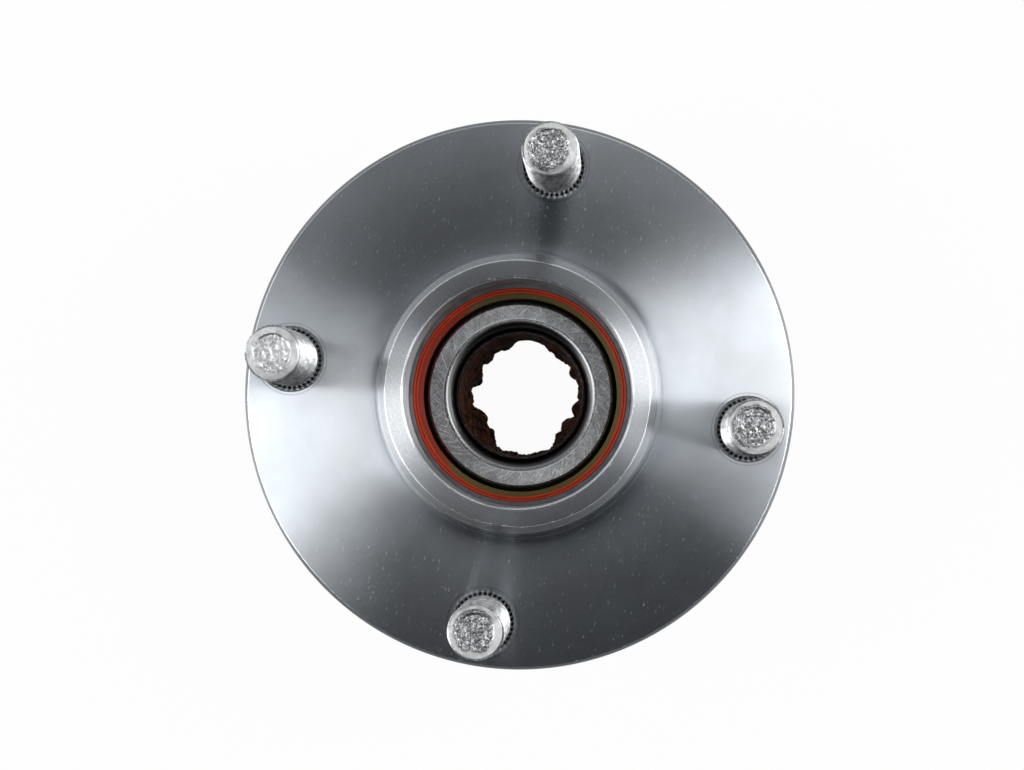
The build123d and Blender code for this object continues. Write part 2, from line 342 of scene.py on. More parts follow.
class Finish(Wiring):
    """A material of a piece, with places and sizes on the part in millimetres."""

    def __init__(self, name, **settings):
        self.material = bpy.data.materials.new(name)
        self.material.use_nodes = True
        super().__init__(self.material.node_tree)
        self.shader = self.tree.nodes["Principled BSDF"]
        for socket, value in settings.items():
            self.set(socket.replace("_", " "), value)
        coordinates = self.add("ShaderNodeTexCoord")
        scaled = self.add(
            "ShaderNodeVectorMath", coordinates.outputs["Object"], operation="SCALE"
        )
        scaled.inputs["Scale"].default_value = 1 / mm
        self.place = scaled.outputs["Vector"]
        split = self.add("ShaderNodeSeparateXYZ", self.place)
        self.x, self.y, self.z = split.outputs
        self.radius = self.math("SQRT", self.sum(self.square(self.x), self.square(self.y)))

    def set(self, socket, value):
        """A constant or a wire into one of the shader's sockets."""
        target = next(item for item in self.shader.inputs if item.name.lower() == socket.lower())
        self.feed(target, value)

    def sum(self, *values):
        total = values[0]
        for value in values[1:]:
            total = self.math("ADD", total, value)
        return total

    def square(self, value):
        return self.times(value, value)

    def rest(self, mask):
        """What a mask leaves out."""
        return self.math("SUBTRACT", 1.0, mask)

    def either(self, a, b):
        """Where one mask or the other is."""
        return self.math("MAXIMUM", a, b)

    def stretch(self, scale, turn_by=0.0):
        """The place on the part, turned about Z and stretched along each axis."""
        mapping = self.add("ShaderNodeMapping", self.place)
        mapping.inputs["Rotation"].default_value = (0, 0, turn_by)
        mapping.inputs["Scale"].default_value = scale
        return mapping.outputs[0]

    def noise(self, place, scale, detail=2.0, rough=0.5):
        """Noise between 0 and 1 with that many waves per millimetre."""
        node = self.add("ShaderNodeTexNoise", place)
        node.inputs["Scale"].default_value = scale
        node.inputs["Detail"].default_value = detail
        node.inputs["Roughness"].default_value = rough
        return node.outputs["Fac"]

    def spun(self, around, across, twist=0.0):
        """A place that goes round the hub's axis without a seam: waves round it and across it.

        A twist, in radians for each millimetre outwards, makes spirals of them.
        """
        angle = self.sum(self.math("ARCTAN2", self.y, self.x), self.times(self.radius, twist))
        joined = self.add(
            "ShaderNodeCombineXYZ",
            self.times(self.math("COSINE", angle), around),
            self.times(self.math("SINE", angle), around),
            self.times(self.radius, across),
        )
        return joined.outputs[0]

    def around_studs(self, to_left=0.0):
        """The distance from the axis of the nearest stud, or from a line to the left of it."""
        circle = stud_circle_radius / mm
        across, along = (
            self.math("SUBTRACT", place, self.math("SNAP", self.sum(place, circle / 2), circle))
            for place in (self.x, self.y)
        )
        across = self.sum(across, to_left)
        return self.math("SQRT", self.sum(self.square(across), self.square(along)))

    def band(self, value, start, end, soft):
        """1 between two values, 0 outside them."""
        return self.times(
            self.step(value, start - soft, start), self.step(value, end, end + soft, 1.0, 0.0)
        )

    def mix(self, factor, a, b):
        """From colour a to colour b."""
        node = self.add("ShaderNodeMix", data_type="RGBA")
        self.feed(node.inputs["Factor"], factor)
        self.feed(node.inputs[6], a)
        self.feed(node.inputs[7], b)
        return node.outputs[2]

    def blend(self, factor, a, b):
        """From number a to number b."""
        node = self.add("ShaderNodeMix", data_type="FLOAT")
        self.feed(node.inputs["Factor"], factor)
        self.feed(node.inputs[2], a)
        self.feed(node.inputs[3], b)
        return node.outputs[0]

    def scratches(self, turn_by, length, width, share):
        """Fine straight scratches in one direction, as a mask."""
        streaks = self.noise(
            self.stretch((1 / width, 1 / length, 1 / length), radians(turn_by)), 1.0, 1.0
        )
        return self.step(streaks, 0.5 + share, 0.5 + share + 0.04)

    def nicks(self, edge, width, waves, threshold):
        """Small dents along a turned edge of that radius, as a mask."""
        near = self.band(self.radius, edge - width / 2, edge + width / 2, width / 3)
        dents = self.noise(self.place, waves, 3.0, 0.7)
        return self.times(near, self.step(dents, threshold, threshold + 0.05))

    def bump(self, height, depth, normal=None):
        """Relief of that many millimetres, on top of another relief where one is given."""
        node = self.add("ShaderNodeBump")
        node.inputs["Strength"].default_value = 1.0
        node.inputs["Distance"].default_value = depth * mm
        self.feed(node.inputs["Height"], height)
        self.feed(node.inputs["Normal"], normal)
        return node.outputs[0]


def grey(value, cool=0.0):
    """A neutral colour, made a little cooler where that is asked for."""
    return (value * (1 - cool), value, value * (1 + cool), 1.0)


def turned_steel():
    """Bare steel faced on a lathe, with a forged skin on the fillet and the barrel."""
    steel = Finish("turned_steel", metallic=1.0, anisotropic=1.0, anisotropic_rotation=0.25)
    tangent = steel.add("ShaderNodeTangent", direction_type="RADIAL", axis="Z")
    steel.set("tangent", tangent.outputs[0])
    back = flange_back / mm
    pilot = pilot_radius / mm
    pilot_top = pilot_height / mm
    cap_seat = cap_seat_radius / mm
    mouth_edge = (cap_seat_radius + pilot_mouth_chamfer) / mm
    lead_edge = (pilot_radius - pilot_lead_width) / mm
    flange_edge = (flange_radius - flange_front_chamfer) / mm

    fine_rings = steel.noise(steel.spun(0.6, 9.0), 1.0, 2.0)
    broad_rings = steel.noise(steel.spun(0.4, 0.9), 1.0, 3.0)
    stains = steel.noise(steel.place, 0.045, 4.0, 0.6)
    handling = steel.noise(steel.place, 1.6, 5.0, 0.65)
    grain = steel.noise(steel.place, 2.6, 3.0, 0.7)
    mill_scale = steel.noise(steel.place, 0.22, 5.0, 0.7)
    marks = steel.either(
        steel.scratches(25, 2.2, 0.06, 0.24), steel.scratches(-50, 1.8, 0.06, 0.25)
    )
    nicks = steel.nicks(mouth_edge, 0.6, 1.3, 0.64)
    for edge, threshold in ((lead_edge, 0.63), (flange_edge, 0.68)):
        nicks = steel.either(nicks, steel.nicks(edge, 0.5, 1.5, threshold))

    forged = steel.step(steel.z, back + 0.05, back - 0.3)
    above = steel.step(steel.z, back, -1.5)
    collar = steel.step(steel.radius, pilot + 0.6, pilot + 0.2)
    # Painted shade: the cap seat's wall, down inside the collar's mouth, is painted half way to a
    # dark slate grey.
    wall = steel.times(
        steel.step(steel.radius, cap_seat + 0.1, cap_seat),
        steel.step(steel.z, pilot_top - 0.6, pilot_top - 1.2),
    )
    # Painted highlight: thin bands on the collar's mouth chamfer and along the lead, pilot and
    # flange edges are painted near white, and given a smoother burnish.
    mouth = steel.times(above, steel.band(steel.radius, mouth_edge - 0.48, mouth_edge, 0.05))
    edge_lines = steel.times(
        above,
        steel.sum(
            steel.band(steel.radius, lead_edge - 0.12, lead_edge + 0.06, 0.08),
            steel.band(steel.radius, pilot - 0.12, pilot, 0.08),
            steel.band(steel.radius, flange_edge - 0.15, flange_edge, 0.05),
        ),
    )
    burnish_and_highlight = steel.either(mouth, edge_lines)
    # Painted shade: the flange's chamfered rim and its outer edge are painted darker.
    shaded_rim = steel.step(steel.radius, flange_edge, flange_edge + 0.1)
    stud_ring = steel.around_studs()
    start, end = (radius / mm for radius in stud_press_mark)
    pressed = steel.times(above, steel.band(stud_ring, start, end, 0.5))
    pressed = steel.times(pressed, steel.step(handling, 0.45, 0.65))
    start, end = (radius / mm for radius in stud_press_line)
    pressed_line = steel.times(above, steel.band(stud_ring, start, end, 0.08))

    base = steel.mix(steel.step(stains, 0.35, 0.65), grey(0.50, 0.04), grey(0.57, 0.06))
    base = steel.mix(steel.times(steel.step(handling, 0.6, 0.85), 0.2), base, grey(0.34, 0.03))
    grainy_collar = steel.times(collar, steel.step(grain, 0.38, 0.68, 0.0, 0.6))
    base = steel.mix(grainy_collar, base, grey(0.74))
    # Painted shade on the wall inside the collar's mouth.
    base = steel.mix(steel.times(wall, 0.5), base, (0.09, 0.095, 0.11, 1.0))
    # Painted shade on the flange's rim.
    base = steel.mix(steel.times(shaded_rim, 0.7), base, grey(0.20))
    base = steel.mix(steel.times(pressed, 0.3), base, grey(0.25))
    base = steel.mix(steel.times(pressed_line, 0.5), base, grey(0.16))
    # Painted highlight on the mouth and the edges.
    base = steel.mix(steel.times(burnish_and_highlight, 0.85), base, grey(0.92, 0.02))
    base = steel.mix(nicks, base, grey(0.92))
    dark_skin = (0.13, 0.122, 0.118, 1.0)
    light_skin = (0.21, 0.202, 0.197, 1.0)
    skin = steel.mix(steel.step(mill_scale, 0.3, 0.7), dark_skin, light_skin)
    steel.set("base color", steel.mix(steel.times(forged, 0.9), base, skin))

    rough = steel.blend(broad_rings, 0.31, 0.34)
    rough = steel.blend(collar, rough, steel.blend(grain, 0.40, 0.52))
    rough = steel.sum(rough, steel.times(marks, -0.06))
    rough = steel.blend(burnish_and_highlight, rough, 0.24)
    rough = steel.blend(forged, rough, steel.step(mill_scale, 0.35, 0.65, 0.62, 0.45))
    steel.set("roughness", rough)

    hammered = steel.sum(
        mill_scale, steel.times(steel.noise(steel.place, 0.9, 5.0, 0.7), 0.5)
    )
    relief = steel.bump(fine_rings, 0.003)
    relief = steel.bump(marks, -0.003, relief)
    relief = steel.bump(steel.times(collar, grain), 0.008, relief)
    relief = steel.bump(nicks, -0.05, relief)
    steel.set("normal", steel.bump(steel.times(forged, hammered), 0.6, relief))
    return steel.material


def zinc_plating():
    """Bright zinc on the studs: darker in the thread's roots and on the neck, dull on the heads,
    rough on the ends.
    """
    zinc = Finish("zinc_plating", metallic=1.0)
    tip = stud_tip / mm
    back = flange_back / mm
    top = knurl_top / mm
    circle = stud_circle_radius / mm
    tooth_edge = knurl_radius / mm

    from_axis = zinc.around_studs()
    speckle = zinc.noise(zinc.place, 2.3, 3.0, 0.7)
    patches = zinc.noise(zinc.place, 0.45, 3.0)
    clouds = zinc.noise(zinc.place, 0.55, 3.0)
    mottle = zinc.noise(zinc.place, 1.1, 4.0, 0.65)
    streaks = zinc.noise(zinc.stretch((1.3, 1.3, 0.2)), 1.0, 4.0, 0.65)

    ragged = zinc.sum(
        zinc.around_studs(rough_end_offset / mm),
        zinc.times(zinc.math("SUBTRACT", patches, 0.5), 2.4),
    )
    end_face = zinc.times(
        zinc.step(ragged, rough_end_radius / mm, rough_end_radius / mm - 0.25),
        zinc.step(zinc.z, tip - 0.9, tip - 0.7),
    )
    left_stud = zinc.step(zinc.x, -0.6 * circle, -0.7 * circle)
    rim = zinc.step(zinc.z, tip - 1.9, tip - 1.5)
    thread = zinc.times(
        zinc.step(zinc.z, tip - 1.5, tip - 1.9), zinc.step(zinc.z, top + 0.1, top + 0.5)
    )
    # The thread's roots and the narrow neck are painted darker.
    root = zinc.times(
        zinc.step(from_axis, thread_radius / mm - 0.1, thread_root_radius / mm + 0.1),
        zinc.step(zinc.z, tip - 2.4, tip - 2.8),
    )
    head = zinc.step(zinc.z, back + 0.05, back - 0.05)
    knurl = zinc.times(zinc.step(zinc.z, top + 0.1, top), zinc.rest(head))
    teeth = zinc.step(from_axis, tooth_edge - 0.4, tooth_edge - 0.25)

    base = zinc.mix(zinc.step(clouds, 0.35, 0.7), grey(0.80, 0.01), grey(0.58))
    base = zinc.mix(thread, base, zinc.mix(zinc.step(streaks, 0.38, 0.62), grey(0.34), grey(0.68)))
    base = zinc.mix(zinc.times(root, 0.7), base, grey(0.16))
    # Painted highlight on the knurl's teeth, which sit in shadow down in the hole, and painted
    # shade in the gaps between them.
    base = zinc.mix(zinc.times(knurl, 0.9), base, zinc.mix(teeth, grey(0.04), grey(0.90)))
    base = zinc.mix(head, base, zinc.mix(zinc.step(mottle, 0.3, 0.7), grey(0.20), grey(0.28)))
    # The ends are painted darker in patches and pitted, the left stud's end much less than the
    # others.
    dull = zinc.times(zinc.step(patches, 0.4, 0.6, 0.95, 0.5), zinc.blend(left_stud, 1.0, 0.15))
    base = zinc.mix(zinc.times(end_face, dull), base, grey(0.28))
    pits = zinc.times(end_face, zinc.step(speckle, 0.5, 0.42, 0.0, zinc.blend(left_stud, 1.0, 0.3)))
    base = zinc.mix(zinc.times(pits, 0.8), base, grey(0.06))
    glints = zinc.times(end_face, zinc.step(speckle, 0.55, 0.63))
    base = zinc.mix(glints, base, grey(0.95))
    mottled_rim = zinc.times(rim, zinc.step(mottle, 0.42, 0.6, 0.45, 0.0))
    base = zinc.mix(zinc.times(mottled_rim, zinc.rest(end_face)), base, grey(0.35))
    zinc.set("base color", base)

    rough = zinc.blend(zinc.times(knurl, teeth), zinc.blend(clouds, 0.26, 0.42), 0.6)
    zinc.set("roughness", zinc.blend(head, rough, 0.5))
    relief = zinc.bump(zinc.times(speckle, zinc.blend(end_face, 0.12, 1.0)), 0.12)
    zinc.set("normal", zinc.bump(zinc.times(head, mottle), 0.12, relief))
    return zinc.material


def ground_steel():
    """Hardened bearing steel: ground, with fine spiral scratches, a painted highlight on the
    rounded lead into the bore, and painted shade down the bore.
    """
    steel = Finish("ground_steel", metallic=1.0, anisotropic=0.5, anisotropic_rotation=0.0)
    tangent = steel.add("ShaderNodeTangent", direction_type="RADIAL", axis="Z")
    steel.set("tangent", tangent.outputs[0])
    hatch = steel.noise(steel.spun(55.0, 0.35, 0.055), 1.0, 2.0, 0.6)
    crossing = steel.noise(steel.spun(48.0, 0.5, -0.04), 1.0, 2.0, 0.6)
    marks = steel.either(steel.step(hatch, 0.52, 0.66), steel.step(crossing, 0.58, 0.68))
    speckle = steel.noise(steel.place, 2.8, 3.0, 0.7)
    clouds = steel.noise(steel.place, 0.3, 3.0)

    off_bore = steel.math("SUBTRACT", steel.radius, bore_radius / mm)
    # Painted highlight: the rounded lead into the bore is painted bright and made smoother. Painted
    # shade: its inner part and the bore wall are painted near black.
    lead = steel.step(off_bore, 3.1, 2.7)
    throat_shade = steel.step(off_bore, 2.7, 1.7)
    bore = steel.step(off_bore, 1.3, 0.1)
    face = steel.rest(steel.times(lead, 0.85))

    base = steel.mix(steel.step(clouds, 0.35, 0.7), grey(0.39, 0.01), grey(0.28))
    base = steel.mix(steel.times(marks, 0.6), base, grey(0.80))
    base = steel.mix(steel.times(steel.step(speckle, 0.5, 0.62), 0.6), base, grey(0.14))
    # Painted highlight on the lead, painted shade on its inner part and in the bore.
    base = steel.mix(steel.times(lead, 0.75), base, grey(0.90))
    base = steel.mix(steel.times(throat_shade, 0.97), base, grey(0.04))
    base = steel.mix(steel.times(bore, 0.92), base, (0.035, 0.032, 0.030, 1.0))
    steel.set("base color", base)

    steel.set("roughness", steel.blend(lead, steel.blend(speckle, 0.42, 0.62), 0.22))
    relief = steel.bump(steel.times(marks, face), 0.022)
    steel.set("normal", steel.bump(steel.times(speckle, face), 0.015, relief))
    return steel.material


def seal_rubber():
    """Orange-red seal rubber, darker red at the lip, and olive there but for the left side: partly
    a grease stain, partly painted shade.
    """
    rubber = Finish("seal_rubber", roughness=0.5, specular_ior_level=0.2)
    rubber.set("coat weight", 0.05)
    rubber.set("coat roughness", 0.15)
    bright_red = (0.58, 0.052, 0.016, 1.0)
    deep_red = (0.38, 0.036, 0.012, 1.0)
    lip_red = (0.20, 0.020, 0.007, 1.0)
    olive = (0.115, 0.094, 0.030, 1.0)
    wear = rubber.noise(rubber.place, 0.12, 4.0, 0.6)
    fine = rubber.noise(rubber.place, 2.5, 4.0, 0.6)
    lip_edge = seal_lip_radius / mm
    lip = rubber.step(rubber.radius, lip_edge + 0.15, lip_edge - 0.15)
    # The olive on the lip is partly a grease stain and partly painted shade; the left side, where
    # light falls, is left red.
    grease_stain_and_shade = rubber.step(rubber.sum(rubber.x, rubber.times(wear, 10.0)), -12.0, -5.0)
    grease_stain_and_shade = rubber.times(rubber.times(lip, grease_stain_and_shade), rubber.step(fine, 0.2, 0.5, 0.75, 1.0))
    base = rubber.mix(wear, bright_red, deep_red)
    base = rubber.mix(rubber.times(lip, 0.75), base, lip_red)
    rubber.set("base color", rubber.mix(grease_stain_and_shade, base, olive))
    rubber.set("normal", rubber.bump(fine, 0.02))
    return rubber.material


def plain_metal(name, colour, rough, wave=2.0, relief=0.01):
    """Metal with a light cloudiness and a fine grain."""
    metal = Finish(name, metallic=1.0)
    grain = metal.noise(metal.place, wave, 4.0, 0.6)
    clouds = metal.noise(metal.place, 0.35, 3.0)
    dark = tuple(channel * 0.72 for channel in colour[:3]) + (1.0,)
    metal.set("base color", metal.mix(metal.step(clouds, 0.3, 0.7), dark, colour))
    metal.set("roughness", metal.blend(grain, rough - 0.07, rough + 0.07))
    metal.set("normal", metal.bump(grain, relief))
    return metal.material


def cage_nylon():
    """Natural nylon of the ball cages, slightly waxy."""
    nylon = Finish("cage_nylon", roughness=0.42, subsurface_weight=0.1)
    nylon.set("subsurface radius", (0.6 * mm, 0.5 * mm, 0.4 * mm))
    grain = nylon.noise(nylon.place, 1.4, 4.0, 0.6)
    nylon.set("base color", nylon.mix(grain, (0.70, 0.64, 0.48, 1.0), (0.80, 0.76, 0.62, 1.0)))
    nylon.set("normal", nylon.bump(grain, 0.02))
    return nylon.material


def amber_grease():
    """Old wheel grease: dark amber, wet on its lumps, black where it is thin near the mouth."""
    grease = Finish("amber_grease", roughness=0.14, specular_ior_level=0.5)
    dark_brown = (0.016, 0.006, 0.003, 1.0)
    amber = (0.20, 0.052, 0.011, 1.0)
    oily_black = (0.012, 0.010, 0.009, 1.0)
    lumps = grease.noise(grease.place, 0.5, 4.0, 0.6)
    fine = grease.noise(grease.place, 1.2, 3.0, 0.6)
    thin = grease.step(grease.z, ring_front / mm - 9.0, ring_front / mm - 5.0)
    base = grease.mix(grease.step(lumps, 0.40, 0.66), dark_brown, amber)
    grease.set("base color", grease.mix(grease.times(thin, 0.9), base, oily_black))
    grease.set("normal", grease.bump(fine, 0.6))
    return grease.material


def wheel_hub():
    """Flange, pilot collar and barrel in one turned forging, with the stud holes cut through."""
    barrel_radius = bearing_radius + barrel_wall
    barrel_end_radius = barrel_radius - barrel_draft
    groove_top = bearing_back
    groove_end = circlip_bottom - circlip_clearance
    groove_radius = bearing_radius + circlip_groove_depth
    outline = [
        (barrel_end_radius, barrel_end + barrel_end_chamfer),
        (barrel_end_radius - barrel_end_chamfer, barrel_end),
        (bearing_radius + barrel_mouth_chamfer, barrel_end),
        (bearing_radius, barrel_end + barrel_mouth_chamfer),
        (bearing_radius, groove_end),
        (groove_radius, groove_end),
        (groove_radius, groove_top),
        (bearing_radius, groove_top),
        (bearing_radius, bearing_front),
        (cap_seat_radius, bearing_front),
        (cap_seat_radius, pilot_height - pilot_mouth_chamfer),
        (cap_seat_radius + pilot_mouth_chamfer, pilot_height),
        (pilot_radius - pilot_lead_width, pilot_height),
        (pilot_radius, pilot_height - pilot_lead_height),
        (pilot_radius, -pilot_relief_depth),
        (pilot_radius + pilot_relief_width, -pilot_relief_depth),
        (pilot_radius + pilot_relief_width, 0),
        (flange_radius - flange_front_chamfer, 0),
        (flange_radius, -flange_front_chamfer),
        (flange_radius, flange_back + flange_back_chamfer),
        (flange_radius - flange_back_chamfer, flange_back),
    ]
    for step in range(barrel_fillet_steps + 1):
        angle = pi / 2 * step / barrel_fillet_steps
        outline.append(
            (
                barrel_radius + barrel_fillet * (1 - sin(angle)),
                flange_back - barrel_fillet * (1 - cos(angle)),
            )
        )
    hub = turned_ring("hub_forging", outline, turning_steps)
    apply(hub, "BEVEL", width=edge_rounding, segments=2, limit_method="ANGLE",
          angle_limit=radians(edge_rounding_angle))
    for _, place in stud_places():
        for cutter in (stud_hole_drill(), spot_face_cutter()):
            settle(cutter, place)
            cut_away(hub, cutter)
    smooth(hub, 32)
    return hub


def stud_hole_drill():
    """The drill for one stud's hole, with the countersink for its mouth."""
    hole_radius = knurl_radius + stud_hole_clearance
    over = 1.0 * mm
    return turned_cutter(
        "stud_hole_drill",
        [
            (hole_radius, flange_back - stud_hole_drill_reach),
            (hole_radius, -stud_hole_chamfer),
            (hole_radius + stud_hole_chamfer + over, over),
        ],
    )


def spot_face_cutter():
    """The cutter that clears the barrel's fillet for one stud's head."""
    radius = stud_head_radius + spot_face_clearance
    over = 1.0 * mm
    return turned_cutter("spot_face_cutter", [(radius, barrel_end - over), (radius, flange_back)])


def thread_tool(start, end):
    """The groove of the thread, as a solid that winds up the stud."""
    over = 0.1 * mm
    outer_radius = thread_radius + over
    half_root = thread_root_flat / 2
    half_mouth = half_root + (outer_radius - thread_root_radius) * thread_flank_slope
    corners = [
        (thread_root_radius, -half_root),
        (thread_root_radius, half_root),
        (outer_radius, half_mouth),
        (outer_radius, -half_mouth),
    ]
    bpy.ops.object.select_all(action="DESELECT")
    bpy.ops.mesh.primitive_plane_add(size=1 * mm, location=(0, 0, 0))
    tool = start_piece("thread_tool")
    bpy.ops.mesh.merge(type="CENTER")
    radius, height = corners[0]
    bpy.ops.transform.translate(value=(radius, 0, start + height))
    for (radius, height), (next_radius, next_height) in pairwise(corners):
        bpy.ops.mesh.extrude_vertices_move(
            TRANSFORM_OT_translate={"value": (next_radius - radius, 0, next_height - height)}
        )
    bpy.ops.mesh.select_all(action="SELECT")
    pick(tool, lambda co: co.z < start)
    bpy.ops.mesh.edge_face_add()
    bpy.ops.object.mode_set(mode="OBJECT")
    turns = ceil((end - start) / thread_pitch)
    apply(tool, "SCREW", axis="Z", screw_offset=thread_pitch, iterations=turns,
          steps=thread_steps, render_steps=thread_steps, use_merge_vertices=False)
    bpy.ops.object.mode_set(mode="EDIT")
    bpy.ops.mesh.select_all(action="SELECT")
    bpy.ops.mesh.fill_holes(sides=len(corners))
    finish_mesh()
    return tool


def wheel_stud():
    """One stud on its own axis: forged head, knurled shank, cut thread and a rough end."""
    point_radius = thread_radius - stud_point_step
    thread_start = knurl_top + stud_neck_length
    point_start = stud_tip - stud_tip_height - stud_point_length
    end_radius = point_radius - stud_tip_width
    runout = 0.2 * mm
    overrun = 1.5 * mm
    outline = [
        (stud_head_radius - stud_head_chamfer, stud_end),
        (stud_head_radius, stud_end + stud_head_chamfer),
        (stud_head_radius, flange_back),
        (knurl_radius, flange_back),
        (knurl_radius, knurl_top - knurl_crown),
        (knurl_radius - knurl_crown, knurl_top),
        (point_radius, thread_start - stud_neck_length / 2),
        (point_radius, thread_start),
        (thread_radius, thread_start + stud_neck_length / 2),
        (thread_radius, point_start),
        (point_radius, point_start),
        (point_radius, stud_tip - stud_tip_height),
        (end_radius, stud_tip),
    ]
    stud = turn("wheel_stud", outline, 2 * knurl_teeth)
    for level in (stud_end, stud_tip):
        pick(stud, lambda co: abs(co.z - level) < hair)
        bpy.ops.mesh.fill_grid(span=knurl_teeth // 2)
    finish_mesh()
    bpy.ops.object.mode_set(mode="EDIT")
    tooth = 2 * pi / knurl_teeth
    shrink = 1 - knurl_depth / knurl_radius
    pick(
        stud,
        lambda co: flange_back - hair < co.z < knurl_top + hair
        and hypot(co.x, co.y) < knurl_radius + hair
        and round(atan2(co.y, co.x) / tooth * 2) % 2 == 1,
    )
    bpy.ops.transform.resize(value=(shrink, shrink, 1), center_override=(0, 0, 0))
    bpy.ops.object.mode_set(mode="OBJECT")
    cut_away(stud, thread_tool(thread_start - runout, stud_tip + overrun))
    roughen_end(stud, end_radius)
    smooth(stud, 35)
    return stud


def roughen_end(stud, end_radius):
    """Leaves the sheared, hammered look of a forging on the stud's end."""
    only(stud)
    bpy.ops.object.mode_set(mode="EDIT")
    pick(stud, lambda co: co.z > stud_tip - hair and hypot(co.x, co.y) < end_radius + hair)
    bpy.ops.mesh.subdivide(number_cuts=1)
    bpy.ops.object.mode_set(mode="OBJECT")
    rough = stud.vertex_groups.new(name="rough_end")
    fade = 0.4 * mm
    for point in stud.data.vertices:
        reach = hypot(point.co.x, point.co.y)
        if point.co.z > stud_tip - hair and reach < end_radius - 5 * hair:
            rough.add([point.index], min(1.0, (end_radius - reach) / fade), "REPLACE")
    pits = bpy.data.textures.new("forged_pits", "CLOUDS")
    pits.noise_scale = stud_pit_size
    pits.noise_depth = 3
    apply(stud, "DISPLACE", texture=pits, strength=-stud_pit_depth, mid_level=0.0,
          direction="Z", vertex_group="rough_end")


def nearness(place, azimuth, spread):
    """1 at an azimuth of the bore, less to each side of it, with both angles in degrees."""
    away = (degrees(atan2(place.y, place.x)) - azimuth + 180) % 360 - 180
    return exp(-((away / spread) ** 2))


def bore_grease():
    """Grease left in the bore: a thin film, with lumps on the wall near its far end."""
    wall = bore_radius - 2 * hair
    front = ring_front - film_front_gap
    back = ring_back + film_back_gap
    film_wall = wall - film_thickness
    outline = [(wall, front), (wall, back)]
    for row in range(grease_rows + 1):
        outline.append((film_wall, back + (front - back) * row / grease_rows))
    grease = turned_ring("bore_grease", outline, grease_steps)
    film = grease.vertex_groups.new(name="film")
    lumps = grease.vertex_groups.new(name="lumps")
    for point in grease.data.vertices:
        if hypot(point.co.x, point.co.y) > wall - film_thickness / 2:
            continue
        depth = (front - point.co.z) / (front - back)
        wiped = wiped_share * nearness(point.co, wiped_azimuth, wiped_spread)
        film.add([point.index], min(1.0, (0.05 + 0.8 * depth) * (1 - wiped)), "REPLACE")
        height = 0.0
        for azimuth, spread, rise, start in grease_lumps:
            along = min(1.0, max(0.0, (depth - start) / (1 - start)))
            height += rise * nearness(point.co, azimuth, spread) * sin(along * pi / 2)
        lumps.add([point.index], min(1.0, height / grease_thickest), "REPLACE")
    apply(grease, "DISPLACE", strength=grease_thickest, mid_level=0.0, direction="NORMAL",
          vertex_group="lumps")
    clots = bpy.data.textures.new("grease_clots", "CLOUDS")
    clots.noise_scale = clot_size
    clots.noise_depth = 4
    apply(grease, "DISPLACE", texture=clots, strength=clot_rise, mid_level=0.2,
          direction="NORMAL", vertex_group="film")
    smooth(grease, 60)
    return grease


def place_camera():
    """The camera stands over the hub, a little to one side, as in the photograph."""
    place = Vector((22.7, -10.9, 530.0)) * mm
    aim = Vector((-1.66, 1.68, 0.0)) * mm
    upwards = Vector((-0.153, 0.988, 0.0))
    camera = bpy.data.objects.new("photo_camera", bpy.data.cameras.new("photo_camera"))
    camera.data.sensor_width = 36.0
    camera.data.lens = 86.3
    camera.data.clip_start = 0.01
    look = (aim - place).normalized()
    right = look.cross(upwards).normalized()
    up = right.cross(look)
    facing = Matrix((right, up, -look)).transposed().to_4x4()
    camera.matrix_world = Matrix.Translation(place) @ facing
    bpy.context.scene.collection.objects.link(camera)
    bpy.context.scene.camera = camera


def white_floor():
    """Plain white floor that keeps a faint shadow. Metal sees it white, except close to the hub."""
    bpy.ops.object.select_all(action="DESELECT")
    bpy.ops.mesh.primitive_plane_add(size=floor_size, location=(0, 0, barrel_end))
    floor = bpy.context.object
    floor.name = "floor"
    paint = bpy.data.materials.new("white_floor")
    paint.use_nodes = True
    paint.node_tree.nodes.clear()
    wiring = Wiring(paint.node_tree)
    board = wiring.add("ShaderNodeBsdfDiffuse", grey(0.85))
    glow = wiring.add("ShaderNodeEmission", grey(1.0), 1.0)
    coordinates = wiring.add("ShaderNodeTexCoord")
    reach = wiring.add("ShaderNodeVectorMath", coordinates.outputs["Object"], operation="LENGTH")
    open_floor = wiring.step(reach.outputs["Value"], bearing_radius, 2 * flange_radius)
    rays = wiring.add("ShaderNodeLightPath").outputs
    sent_on = wiring.math("MAXIMUM", rays["Is Glossy Ray"], rays["Is Transmission Ray"])
    seen = wiring.math("MAXIMUM", rays["Is Camera Ray"], wiring.times(sent_on, open_floor))
    blend = wiring.add(
        "ShaderNodeMixShader",
        wiring.times(seen, floor_whiteness), board.outputs[0], glow.outputs[0],
    )
    wiring.add("ShaderNodeOutputMaterial", blend.outputs[0])
    floor.data.materials.append(paint)


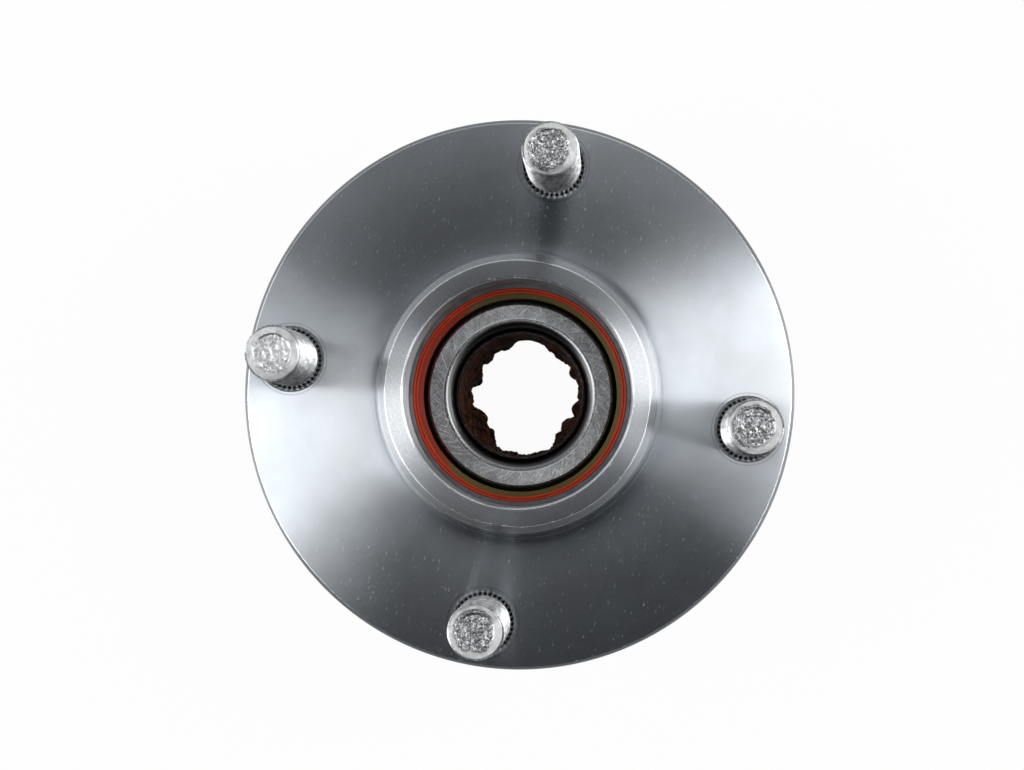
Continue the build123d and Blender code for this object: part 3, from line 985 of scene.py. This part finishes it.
def studio_sky():
    """Dim overhead, brighter near the horizon and at the hub's sides. The camera sees white."""
    world = bpy.data.worlds.new("studio")
    bpy.context.scene.world = world
    world.use_nodes = True
    world.node_tree.nodes.clear()
    wiring = Wiring(world.node_tree)
    coordinates = wiring.add("ShaderNodeTexCoord")
    across, along, height = wiring.add(
        "ShaderNodeSeparateXYZ", coordinates.outputs["Generated"]
    ).outputs
    ramp = wiring.add("ShaderNodeValToRGB", height)
    horizon, overhead = ramp.color_ramp.elements
    horizon.position = 0.0
    horizon.color = (0.84, 0.86, 0.90, 1.0)
    overhead.position = 1.0
    overhead.color = (0.034, 0.036, 0.041, 1.0)
    for position, level in ((0.3, 0.26), (0.62, 0.06)):
        ramp.color_ramp.elements.new(position).color = (level, level * 1.02, level * 1.1, 1.0)
    plain_level, side_gain, side_focus, top_gain = 0.74, 1.7, 4.0, 0.5
    sideways = wiring.math("POWER", wiring.math("ABSOLUTE", across), side_focus)
    strength = wiring.math("MULTIPLY_ADD", sideways, side_gain, plain_level)
    strength = wiring.math("MULTIPLY_ADD", along, top_gain, strength)
    sky = wiring.add("ShaderNodeBackground", ramp.outputs["Color"], strength)
    white = wiring.add("ShaderNodeBackground", grey(1.0))
    rays = wiring.add("ShaderNodeLightPath").outputs
    blend = wiring.add(
        "ShaderNodeMixShader", rays["Is Camera Ray"], sky.outputs[0], white.outputs[0]
    )
    wiring.add("ShaderNodeOutputWorld", blend.outputs[0])


def softbox(name, azimuth, elevation, distance, width, height, watts, tint=(1.0, 1.0, 1.0)):
    """A soft lamp aimed at the hub, from an azimuth and an elevation in degrees."""
    lamp = bpy.data.lights.new(name, "AREA")
    lamp.shape = "RECTANGLE"
    lamp.size = width
    lamp.size_y = height
    lamp.energy = watts
    lamp.color = tint
    box = bpy.data.objects.new(name, lamp)
    bpy.context.scene.collection.objects.link(box)
    toward = Vector(
        (
            cos(radians(elevation)) * cos(radians(azimuth)),
            cos(radians(elevation)) * sin(radians(azimuth)),
            sin(radians(elevation)),
        )
    )
    facing = toward.to_track_quat("Z", "Y").to_matrix().to_4x4()
    box.matrix_world = Matrix.Translation(toward * distance) @ facing
    box.visible_camera = False


def light_studio():
    """Softboxes on either side draw the two bright fans on the turned face, and fills widen them.

    Low cards light the chamfers, and two small cards lift the dark part of the face between.
    """
    cool = (0.97, 0.985, 1.0)
    studio_sky()
    white_floor()
    softbox("right_softbox", 21, 54, 0.8, 0.34, 0.50, 1.75)
    softbox("left_softbox", 203, 54, 0.8, 0.34, 0.50, 1.75, cool)
    softbox("right_low_card", 21, 34, 0.8, 0.34, 0.20, 0.9)
    softbox("left_low_card", 203, 34, 0.8, 0.34, 0.20, 0.9, cool)
    softbox("right_fill", 352, 44, 0.8, 0.30, 0.34, 0.7, cool)
    softbox("left_fill", 175, 44, 0.8, 0.30, 0.34, 0.6, cool)
    softbox("top_card", 116, 50, 0.33, 0.4, 0.2, 0.12, cool)
    softbox("side_card", 74, 50, 0.33, 0.2, 0.2, 0.05, cool)


def build():
    """Sets up the studio, makes the hub, the studs and the grease, and paints the bearing."""
    light_studio()
    place_camera()
    dress(wheel_hub(), "hub", ["wheel_hub"], turned_steel())
    stud = wheel_stud()
    zinc = zinc_plating()
    for number, (angle, place) in enumerate(stud_places(), 1):
        fitted = copy_of(stud, f"pressed_stud_{number}")
        settle(fitted, place, angle)
        dress(fitted, "hub", [f"wheel_stud_{number}"], zinc)
    bpy.data.objects.remove(stud)
    dress(bore_grease(), "axle_side", [], amber_grease())
    finishes = {
        "bearing_steel": ground_steel(),
        "seal_rubber": seal_rubber(),
        "seal_steel": plain_metal("seal_sheet", (0.25, 0.255, 0.27, 1.0), 0.42),
        "spring_steel": plain_metal("phosphated_spring", (0.10, 0.10, 0.11, 1.0), 0.5, 3.0, 0.02),
        "ball_steel": plain_metal("polished_balls", (0.76, 0.77, 0.79, 1.0), 0.12, 0.4, 0.001),
        "cage_plastic": cage_nylon(),
    }
    for part in frame["record"]["subparts"]:
        if part["material_slot"] in finishes:
            repaint(part["node"], finishes[part["material_slot"]])
    # Painted shade: the slingers, deep in the dark gap beside the inner rings, are painted near
    # black.
    slinger_shade = plain_metal("shaded_slinger", (0.012, 0.011, 0.010, 1.0), 0.5)
    for side in ("outboard", "inboard"):
        repaint(f"{side}_slinger", slinger_shade)


bpy.context.scene.view_settings.view_transform = "Standard"
bpy.ops.object.select_all(action="DESELECT")
build()
